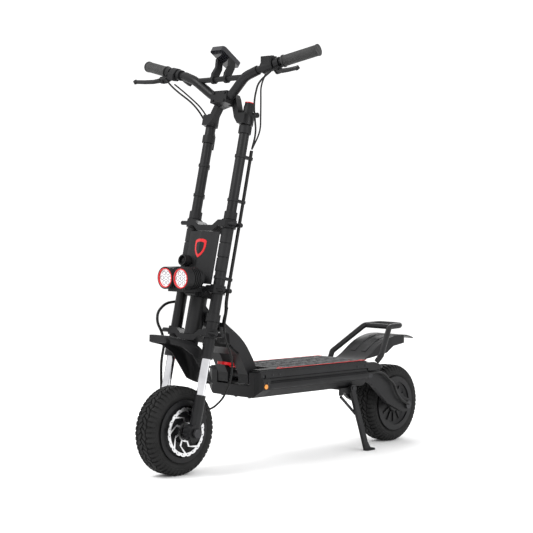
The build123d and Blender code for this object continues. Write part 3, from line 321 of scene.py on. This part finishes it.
tread_pitches = 26
tyre_steps = 32 * tread_pitches


def arc(start, middle, end, count):
    """Points on the circle through three points, leaving out the first."""
    (ax, ay), (bx, by), (cx, cy) = start, middle, end
    d = 2 * (ax * (by - cy) + bx * (cy - ay) + cx * (ay - by))
    a, b, c = ax * ax + ay * ay, bx * bx + by * by, cx * cx + cy * cy
    ux = (a * (by - cy) + b * (cy - ay) + c * (ay - by)) / d
    uy = (a * (cx - bx) + b * (ax - cx) + c * (bx - ax)) / d
    first = Vector((ax - ux, ay - uy))
    turn = first.angle_signed(Vector((cx - ux, cy - uy)))
    points = []
    for i in range(1, count + 1):
        swing = -turn * i / count
        points.append((
            ux + first.x * cos(swing) - first.y * sin(swing),
            uy + first.x * sin(swing) + first.y * cos(swing),
        ))
    return points


def tyre_profile():
    """Half the tyre's outside as (across, radius), from the tread's middle to the bead."""
    flat = [(20 * i / 16, tyre_radius) for i in range(17)]
    shoulder = arc((20, tyre_radius), (30.5, 122.5), (36, 113), 16)
    wall = arc((36, 113), (38, 103), (33.5, 91), 10)
    return flat + shoulder + wall + [(33, 82)]


def zigzag(phase):
    """Triangle wave from -1 to 1 with period 1."""
    return 4 * abs((phase % 1) - 0.5) - 1


def near(phase, half):
    """Whether a phase is within half of a whole number."""
    return abs((phase + 0.5) % 1 - 0.5) < half


def groove(across, run, phase):
    """Groove depth in mm: run is the distance from the tread's middle along the surface."""
    side = 1 if across > 0 else -1
    if abs(run - side * (0.2 + 4.2 * side * zigzag(phase))) < 1.7 and abs(run) < 7:
        return 4
    middle = 17.5 + 3 * zigzag(phase + 0.25 * side)
    if abs(abs(run) - middle) < 1.4:
        return 4
    if abs(run) < middle:
        if near(phase + side * 0.25 + 0.028 * abs(run), 0.06):
            return 4
        if near(phase + side * 0.25 + 0.5 + 0.028 * abs(run), 0.018) and abs(run) > 6:
            return 1.5
        return 0
    if abs(run) < 36:
        if near(2 * phase + side * 0.5, 0.2 if abs(run) < 27 else 0.16):
            return 4 if abs(run) < 31 else 2.6
        return 0
    if abs(run) < 46:
        return 1.2 if near(2 * phase + side * 0.5, 0.13) else 0
    return 1.0 if 49 < abs(run) < 50.5 else 0


def tyre(name, node, centre_x):
    """Tyre with grooves cut into its outside, in place of a CAD tyre."""
    half = tyre_profile()
    runs = [0.0]
    for before, at in zip(half, half[1:]):
        runs.append(runs[-1] + (Vector(at) - Vector(before)).length)
    outside = [(-a, b, -c) for (a, b), c in zip(half[:0:-1], runs[:0:-1])]
    outside += [(a, b, c) for (a, b), c in zip(half, runs)]
    inside = [(27, 82), (27, 92), (31.5, 103), (27, 112), (19, 118), (-19, 118), (-27, 112), (-31.5, 103),
              (-27, 92), (-27, 82)]
    normals = []
    for i in range(len(outside)):
        before = outside[max(i - 1, 0)]
        after = outside[min(i + 1, len(outside) - 1)]
        along = Vector((after[0] - before[0], after[1] - before[1])).normalized()
        normals.append((-along.y, along.x))
    shape = bmesh.new()
    rings = []
    for step in range(tyre_steps):
        turn = 2 * pi * step / tyre_steps
        phase = tread_pitches * step / tyre_steps
        ring = []
        for (across, radius, run), (nx, ny) in zip(outside, normals):
            depth = groove(across, run, phase)
            ring.append((across - nx * depth, radius - ny * depth))
        ring += inside
        rings.append([
            shape.verts.new(
                ((centre_x + r * cos(turn)) / 1000, y / 1000, (tyre_radius + r * sin(turn)) / 1000)
            )
            for y, r in ring
        ])
    count = len(rings[0])
    for ring, following in zip(rings, rings[1:] + rings[:1]):
        for i in range(count):
            j = (i + 1) % count
            shape.faces.new((ring[i], ring[j], following[j], following[i]))
    made = piece(name, shape, tyre_black, node)
    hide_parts(node)


tyre("tread_tyre_front", "tyre_front", wheel_x)
tyre("tread_tyre_rear", "tyre_rear", -wheel_x)

# Lamps: red ring inside each lip, and seven reflectors behind the lens

shape = bmesh.new()
cups = bmesh.new()
for y in (-lamp_y, lamp_y):
    lathe(
        shape, [(lens_face_x, 25.4), (496.6, 25.4), (496.6, lamp_bore), (lens_face_x, lamp_bore)],
        (0, y, lamp_z), (1, 0, 0), 64,
    )
    spots = [(0, 0)] + [(15.5 * cos(pi / 3 * i), 15.5 * sin(pi / 3 * i)) for i in range(6)]
    for across, rise in spots:
        lathe(
            cups, [(491.15, 4.6), (492.0, 4.6), (492.0, 6.3), (491.15, 6.3)],
            (0, y + across, lamp_z + rise), (1, 0, 0), 24,
        )
piece("lamp_red_rings", shape, red_paint, "lamp_lenses", True)
piece("lamp_reflectors", cups, reflector, "lamp_lenses", True)

# Red ring on the taller cap

shape = bmesh.new()
lathe(shape, [(9.0, 13.6), (11.4, 13.6), (11.4, 4.0), (9.0, 4.0)], on_axis(0, stem_y, cap_top_s), up_axis, 48)
piece("cap_red_ring", shape, red_paint, "stem_caps", False)

# Plain shield on the front cover, folded over the cover's ridge

shield_half = [(0, 27), (9, 27.5), (19, 25), (22.5, 21), (22, 6), (18.5, -8), (11, -19), (0, -28)]


def shield(name, scale, lift, material):
    """Folded plate at a scale of the shield's outline, lifted off the cover."""
    shape = bmesh.new()
    for side in (-1, 1):
        rows = []
        for y, rise in shield_half:
            row = []
            for depth in (0, 0.7):
                for part in (0, 1):
                    f = cover_front_f - 9 * abs(y * scale * part) / 48 + lift + depth
                    corner = on_axis(f, side * y * scale * part, shield_s + rise * scale)
                    row.append(shape.verts.new(corner / 1000))
            rows.append(row)
        for a, b in zip(rows, rows[1:]):
            shape.faces.new((a[2], a[3], b[3], b[2]))
            shape.faces.new((a[0], a[1], b[1], b[0]))
            shape.faces.new((a[1], a[3], b[3], b[1]))
    bmesh.ops.remove_doubles(shape, verts=shape.verts, dist=1e-6)
    piece(name, shape, material, "front_cover")


shield("shield_edge", 1.0, 0.15, red_paint)
shield("shield_field", 0.68, 0.55, badge_dark)

# Deck mat: red lines, red arrowheads and raised panels

lines = bmesh.new()
panels = bmesh.new()
for side in (-1, 1):
    prism(
        lines, [(-268, side * 99.5), (168, side * 99.5), (168, side * 102.5), (-268, side * 102.5)],
        mat_z, line_top_z,
    )
    for start in (150, -245):
        toward = 1 if start > 0 else -1
        for shift in (0, 16):
            tip = start - toward * shift
            prism(lines, [(tip, side * 90), (tip - toward * 34, side * 72), (tip - toward * 34, side * 69),
                          (tip, side * 86)], mat_z, line_top_z)
    for row in range(9):
        rear = -232 + row * 41
        # Each panel: its outer and inner edge across the deck, and how far back each edge starts
        for outer, inner, outer_start, inner_start in ((60, 34, 0, 7), (29, 4, 9, 2), (92, 66, 4, -2)):
            prism(
                panels,
                [(rear + outer_start, side * outer), (rear + outer_start + 30, side * outer),
                 (rear + inner_start + 30, side * inner), (rear + inner_start, side * inner)],
                mat_z, panel_top_z,
            )
piece("mat_red_lines", lines, red_rubber, "deck_mat")
piece("mat_panels", panels, panel_grey, "deck_mat")

# ---- Studio ----

floor_mesh = bpy.data.meshes.new("studio_floor")
shape = bmesh.new()
for x, y in ((-9, -9), (9, -9), (9, 9), (-9, 9)):
    shape.verts.new((x, y, 0))
shape.faces.new(shape.verts)
shape.to_mesh(floor_mesh)
floor = bpy.data.objects.new("studio_floor", floor_mesh)
bpy.context.collection.objects.link(floor)
floor_mesh.materials.append(surface(
    "studio_floor", (0.93, 0.93, 0.93), (0.95, 0.95, 0.95), 0, (0.9, 1.0), 0.6, 60, 0.02,
))

world = bpy.data.worlds.new("studio")
world.use_nodes = True
world.node_tree.nodes["Background"].inputs["Color"].default_value = (1, 1, 1, 1)
world.node_tree.nodes["Background"].inputs["Strength"].default_value = 1.12
bpy.context.scene.world = world


def lamp(name, place, target, size, power):
    """Rectangular studio light aimed at a point."""
    light = bpy.data.lights.new(name, "AREA")
    light.shape = "RECTANGLE"
    light.size = size[0]
    light.size_y = size[1]
    light.energy = power
    thing = bpy.data.objects.new(name, light)
    thing.location = place
    thing.rotation_euler = (Vector(target) - Vector(place)).to_track_quat("-Z", "Y").to_euler()
    bpy.context.collection.objects.link(thing)


lamp("key", (3.0, -0.6, 3.2), (0, 0, 0.5), (1.6, 1.6), 90)
lamp("fill", (0.4, 4.0, 2.2), (0, 0, 0.5), (2.2, 1.6), 60)
lamp("rear", (-3.0, -2.0, 2.6), (0, 0, 0.5), (1.6, 1.6), 45)

# ---- Camera at the photograph's viewing angle ----

yaw = radians(47.028)
pitch = radians(1.678)
roll = radians(0.687)
ahead = Vector((-sin(yaw) * cos(pitch), -cos(yaw) * cos(pitch), -sin(pitch)))
level = Vector((-cos(yaw), sin(yaw), 0))
upright = level.cross(ahead)
across = level * cos(roll) + upright * sin(roll)
lifted = upright * cos(roll) - level * sin(roll)
view_lens = bpy.data.cameras.new("camera")
view_lens.lens = 95.2
view_lens.sensor_width = 36
view_lens.shift_x = -0.0214
view_lens.shift_y = -0.0004
view_lens.clip_end = 40
camera = bpy.data.objects.new("camera", view_lens)
camera.matrix_world = Matrix((
    (across.x, lifted.x, -ahead.x, 3.2132),
    (across.y, lifted.y, -ahead.y, 2.93877),
    (across.z, lifted.z, -ahead.z, 0.71515),
    (0, 0, 0, 1),
))
bpy.context.collection.objects.link(camera)
bpy.context.scene.camera = camera

view_settings = bpy.context.scene.view_settings
view_settings.view_transform = "Standard"
